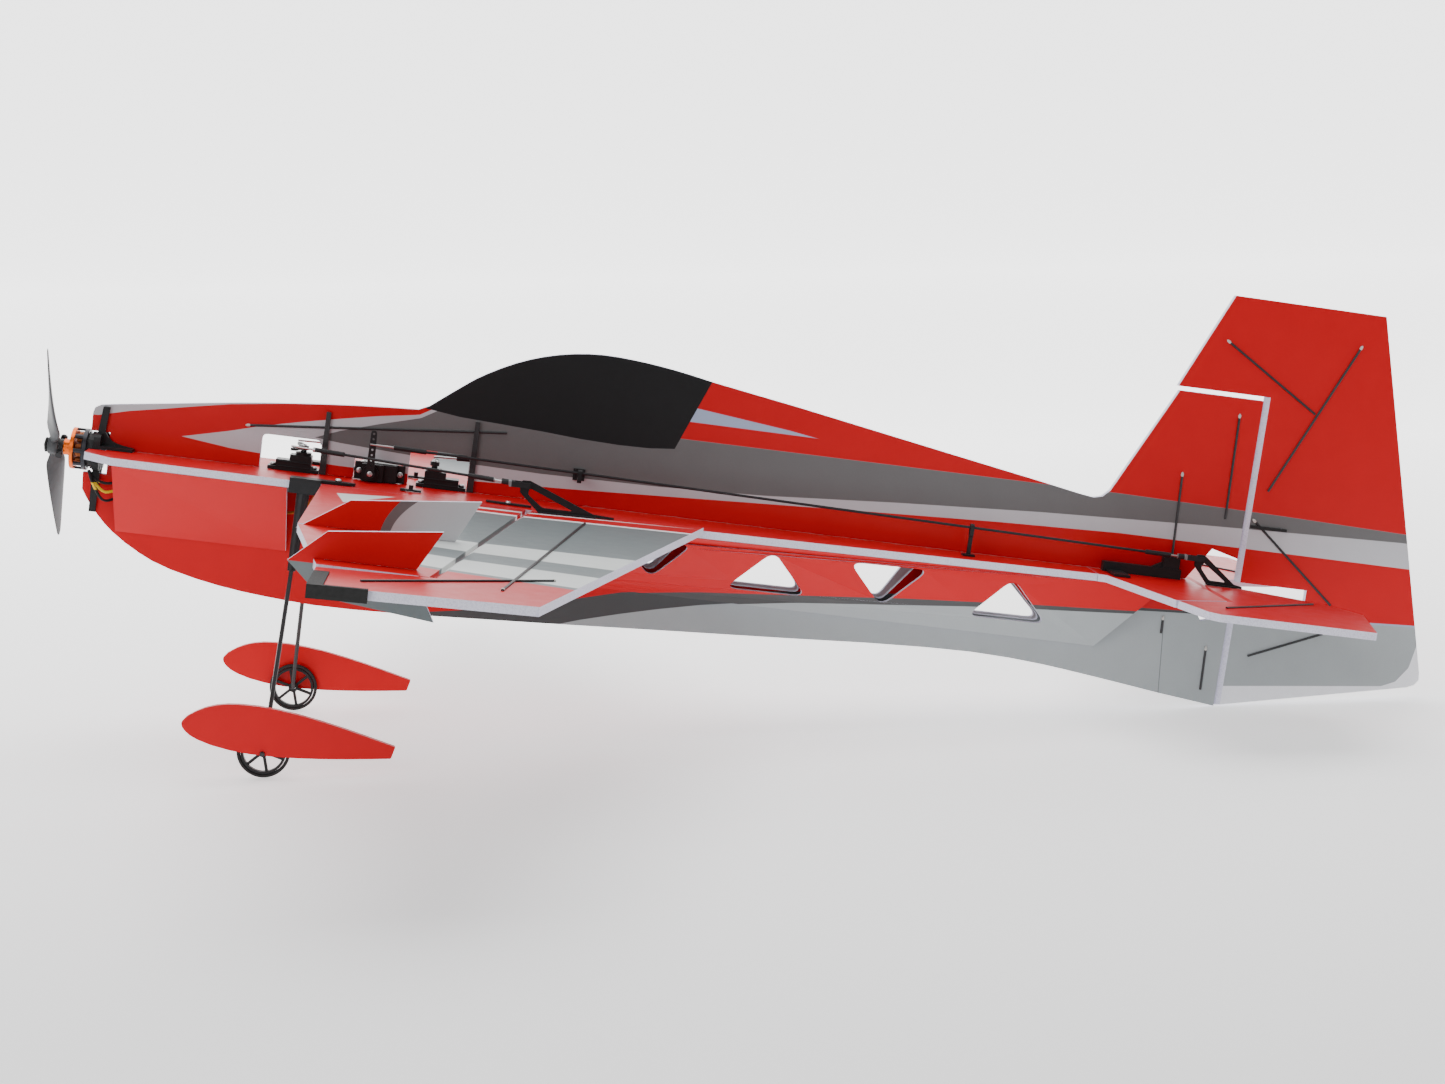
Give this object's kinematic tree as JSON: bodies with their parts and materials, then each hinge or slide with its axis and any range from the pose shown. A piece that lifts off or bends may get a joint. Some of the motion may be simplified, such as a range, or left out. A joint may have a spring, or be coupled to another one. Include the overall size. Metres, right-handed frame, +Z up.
{
  "type": "radio controlled foam aeroplane",
  "caption": "Flat-foam aerobatic monoplane model with moving ailerons, elevator and rudder, pushrod linkages, turning propeller and wheels.",
  "frame": {"origin": "on the floor, under the middle of the aeroplane's outline, as it stands on two wheels and the bottom corner of the fin", "axes": "+X to the tail, +Y to the right wing, +Z up"},
  "size_m": [0.959, 0.8664, 0.2906],
  "materials": {
    "foam": "printed closed-cell foam sheet: red, silver, grey and black, white at the cut edges",
    "black_nylon": "black moulded nylon",
    "carbon": "carbon fibre rod and black shrink sleeve",
    "rubber": "black rubber and foam rubber",
    "anodised_bell": "orange anodised aluminium",
    "stator": "steel laminations with copper windings",
    "propeller_plastic": "dark grey moulded plastic",
    "wire_jacket": "soft wire jacket",
    "electronics_case": "black shrink tube and plastic"
  },
  "bodies": {
    "airframe": {"fuselage_upper": "foam", "fuselage_lower": "foam", "fuselage_plate": "foam", "belly_panel_front_left": "foam", "belly_panel_front_right": "foam", "belly_panel_rear_left": "foam", "belly_panel_rear_right": "foam", "wing_left": "foam", "wing_right": "foam", "side_fin_inner_left": "foam", "side_fin_inner_right": "foam", "side_fin_outer_left": "foam", "side_fin_outer_right": "foam", "stabiliser": "foam", "tail_clamp": "black_nylon", "motor_mount": "black_nylon", "motor_stator": "stator", "motor_leads": "wire_jacket", "speed_controller": "electronics_case", "receiver": "electronics_case", "servo_lead": "wire_jacket", "gear_mount_left": "black_nylon", "gear_mount_right": "black_nylon", "gear_leg_left": "carbon", "gear_leg_right": "carbon", "wheel_pant_left": "foam", "wheel_pant_right": "foam", "aileron_servo": "black_nylon", "rudder_servo": "black_nylon", "elevator_servo": "black_nylon", "rod_guide_front": "black_nylon", "rod_guide_rear": "black_nylon", "post_front": "carbon", "post_rear": "carbon"},
    "propeller_set": {"motor_bell": "anodised_bell", "propeller": "propeller_plastic", "prop_saver": "black_nylon", "prop_ring": "rubber"},
    "aileron_left_set": {"aileron_left": "foam", "aileron_horn_left": "black_nylon", "tip_weight_left": "rubber"},
    "aileron_right_set": {"aileron_right": "foam", "aileron_horn_right": "black_nylon", "tip_weight_right": "rubber"},
    "elevator_set": {"elevator": "foam", "elevator_horn": "black_nylon"},
    "rudder_set": {"rudder": "foam", "rudder_horn": "black_nylon"},
    "wheel_left_set": {"wheel_left": "black_nylon", "tyre_left": "rubber"},
    "wheel_right_set": {"wheel_right": "black_nylon", "tyre_right": "rubber"},
    "aileron_arm": {"aileron_servo_arm": "black_nylon"},
    "elevator_arm": {"elevator_servo_arm": "black_nylon"},
    "rudder_arm": {"rudder_servo_arm": "black_nylon"},
    "aileron_rod_left": {"aileron_pushrod_left": "carbon"},
    "aileron_rod_right": {"aileron_pushrod_right": "carbon"},
    "elevator_rod": {"elevator_pushrod": "carbon"},
    "rudder_rod": {"rudder_pushrod": "carbon"}
  },
  "joints": [
    {"name": "propeller_spin", "type": "hinge", "parent": "airframe", "child": "propeller_set", "pos_m": [-0.4683, 0, 0.20965], "axis": [0.9883, 0, -0.1525], "continuous": true},
    {"name": "aileron_left_hinge", "type": "hinge", "parent": "airframe", "child": "aileron_left_set", "pos_m": [-0.15451, -0.06, 0.16122], "axis": [-0.1605, -0.9867, 0.0248], "range_deg": [-29.2, 26.8]},
    {"name": "aileron_right_hinge", "type": "hinge", "parent": "airframe", "child": "aileron_right_set", "pos_m": [-0.15451, 0.06, 0.16122], "axis": [0.1605, -0.9867, -0.0248], "range_deg": [-26.8, 29.2]},
    {"name": "elevator_hinge", "type": "hinge", "parent": "airframe", "child": "elevator_set", "pos_m": [0.30999, 0, 0.08954], "axis": [0, -1, 0], "range_deg": [-35, 35]},
    {"name": "rudder_hinge", "type": "hinge", "parent": "airframe", "child": "rudder_set", "pos_m": [0.3426, 0, 0.08451], "axis": [0.1525, 0, 0.9883], "range_deg": [-35, 35]},
    {"name": "aileron_arm_turn", "type": "hinge", "parent": "airframe", "child": "aileron_arm", "pos_m": [-0.30242, 0, 0.20267], "axis": [0.1525, 0, 0.9883], "range_deg": [-28, 30.5]},
    {"name": "elevator_arm_turn", "type": "hinge", "parent": "airframe", "child": "elevator_arm", "pos_m": [-0.25791, -0.02, 0.18619], "axis": [0, -1, 0], "range_deg": [-35, 35]},
    {"name": "rudder_arm_turn", "type": "hinge", "parent": "airframe", "child": "rudder_arm", "pos_m": [-0.21496, 0, 0.18917], "axis": [0.1525, 0, 0.9883], "range_deg": [-35, 35]},
    {"name": "aileron_rod_left_slide", "type": "slide", "parent": "airframe", "child": "aileron_rod_left", "axis": [0.9883, 0, -0.1525], "range_m": [-0.0091, 0.0099]},
    {"name": "aileron_rod_right_slide", "type": "slide", "parent": "airframe", "child": "aileron_rod_right", "axis": [0.9883, 0, -0.1525], "range_m": [-0.0099, 0.0091]},
    {"name": "elevator_rod_pivot", "type": "hinge", "parent": "elevator_arm", "child": "elevator_rod", "pos_m": [-0.25486, -0.0212, 0.20595], "axis": [0, -1, 0], "range_deg": [-35, 35]},
    {"name": "rudder_rod_pivot", "type": "hinge", "parent": "rudder_arm", "child": "rudder_rod", "pos_m": [-0.21453, 0.02, 0.19194], "axis": [0.1525, 0, 0.9883], "range_deg": [-35, 35]},
    {"name": "wheel_left_spin", "type": "hinge", "parent": "airframe", "child": "wheel_left_set", "pos_m": [-0.32801, -0.0996, 0.0172], "axis": [0, 1, 0], "continuous": true},
    {"name": "wheel_right_spin", "type": "hinge", "parent": "airframe", "child": "wheel_right_set", "pos_m": [-0.32801, 0.0996, 0.0172], "axis": [0, 1, 0], "continuous": true}
  ],
  "couplings": [
    {"joint": "aileron_right_hinge", "follows": "aileron_left_hinge", "ratio": -1},
    {"joint": "aileron_arm_turn", "follows": "aileron_left_hinge", "ratio": -1.03},
    {"joint": "aileron_rod_left_slide", "follows": "aileron_left_hinge", "m_per_rad": -0.0193},
    {"joint": "aileron_rod_right_slide", "follows": "aileron_left_hinge", "m_per_rad": 0.0193},
    {"joint": "elevator_arm_turn", "follows": "elevator_hinge", "ratio": 1},
    {"joint": "elevator_rod_pivot", "follows": "elevator_hinge", "ratio": -1},
    {"joint": "rudder_arm_turn", "follows": "rudder_hinge", "ratio": 1},
    {"joint": "rudder_rod_pivot", "follows": "rudder_hinge", "ratio": -1}
  ]
}
